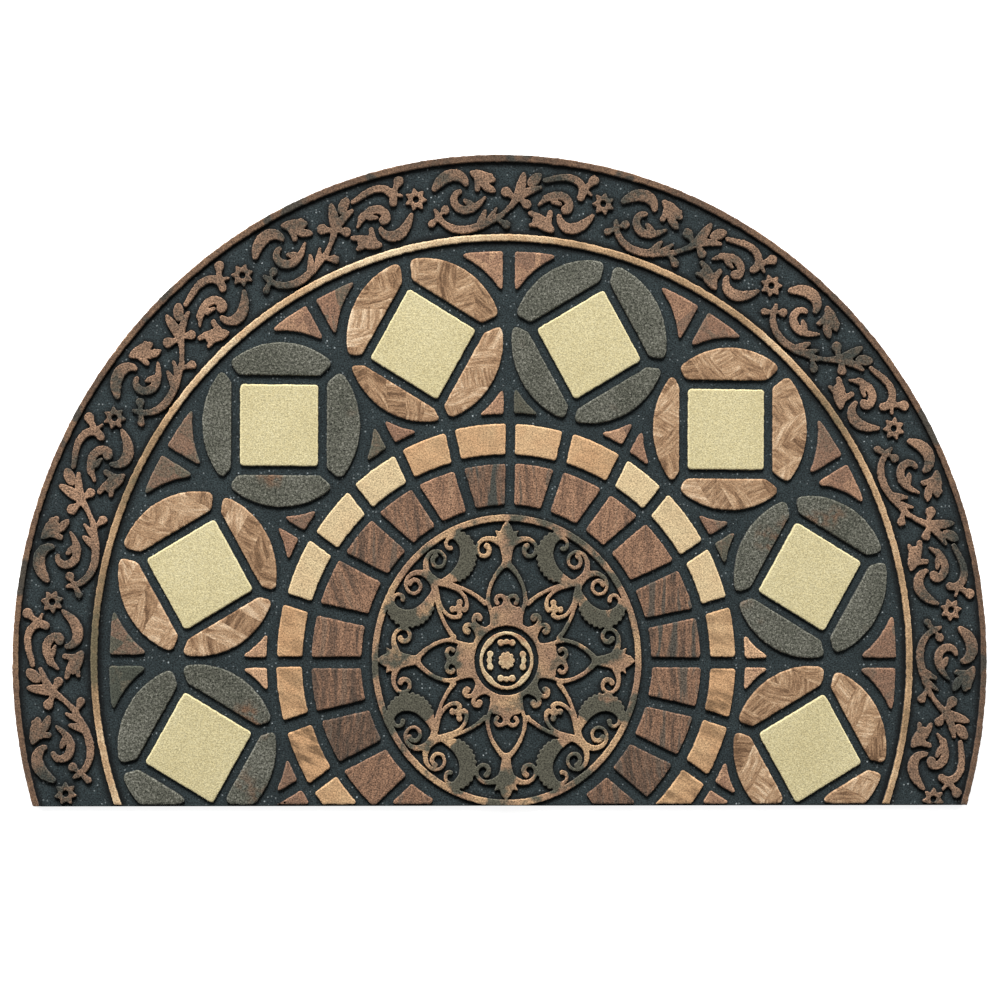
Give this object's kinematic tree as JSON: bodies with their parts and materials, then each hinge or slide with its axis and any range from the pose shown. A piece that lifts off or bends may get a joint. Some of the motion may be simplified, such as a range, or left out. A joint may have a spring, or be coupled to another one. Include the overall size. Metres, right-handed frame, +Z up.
{
  "type": "doormat",
  "caption": "Half-round moulded rubber doormat with a raised, flocked mosaic of square tiles, petals, brick rings, a scrolled medallion and a scroll border.",
  "frame": {"origin": "the middle of the mat's bounding rectangle, on its underside", "axes": "+X along the straight edge, +Y from the straight edge to the crown of the curve, +Z up out of the decorated face"},
  "size_m": [0.914, 0.61, 0.007],
  "materials": {
    "flocked_rubber": "flocked relief printed in stone and wood tones over dark slate channels, black rubber at the edge and underneath"
  },
  "bodies": {
    "root": {"mat": "flocked_rubber"}
  },
  "joints": []
}
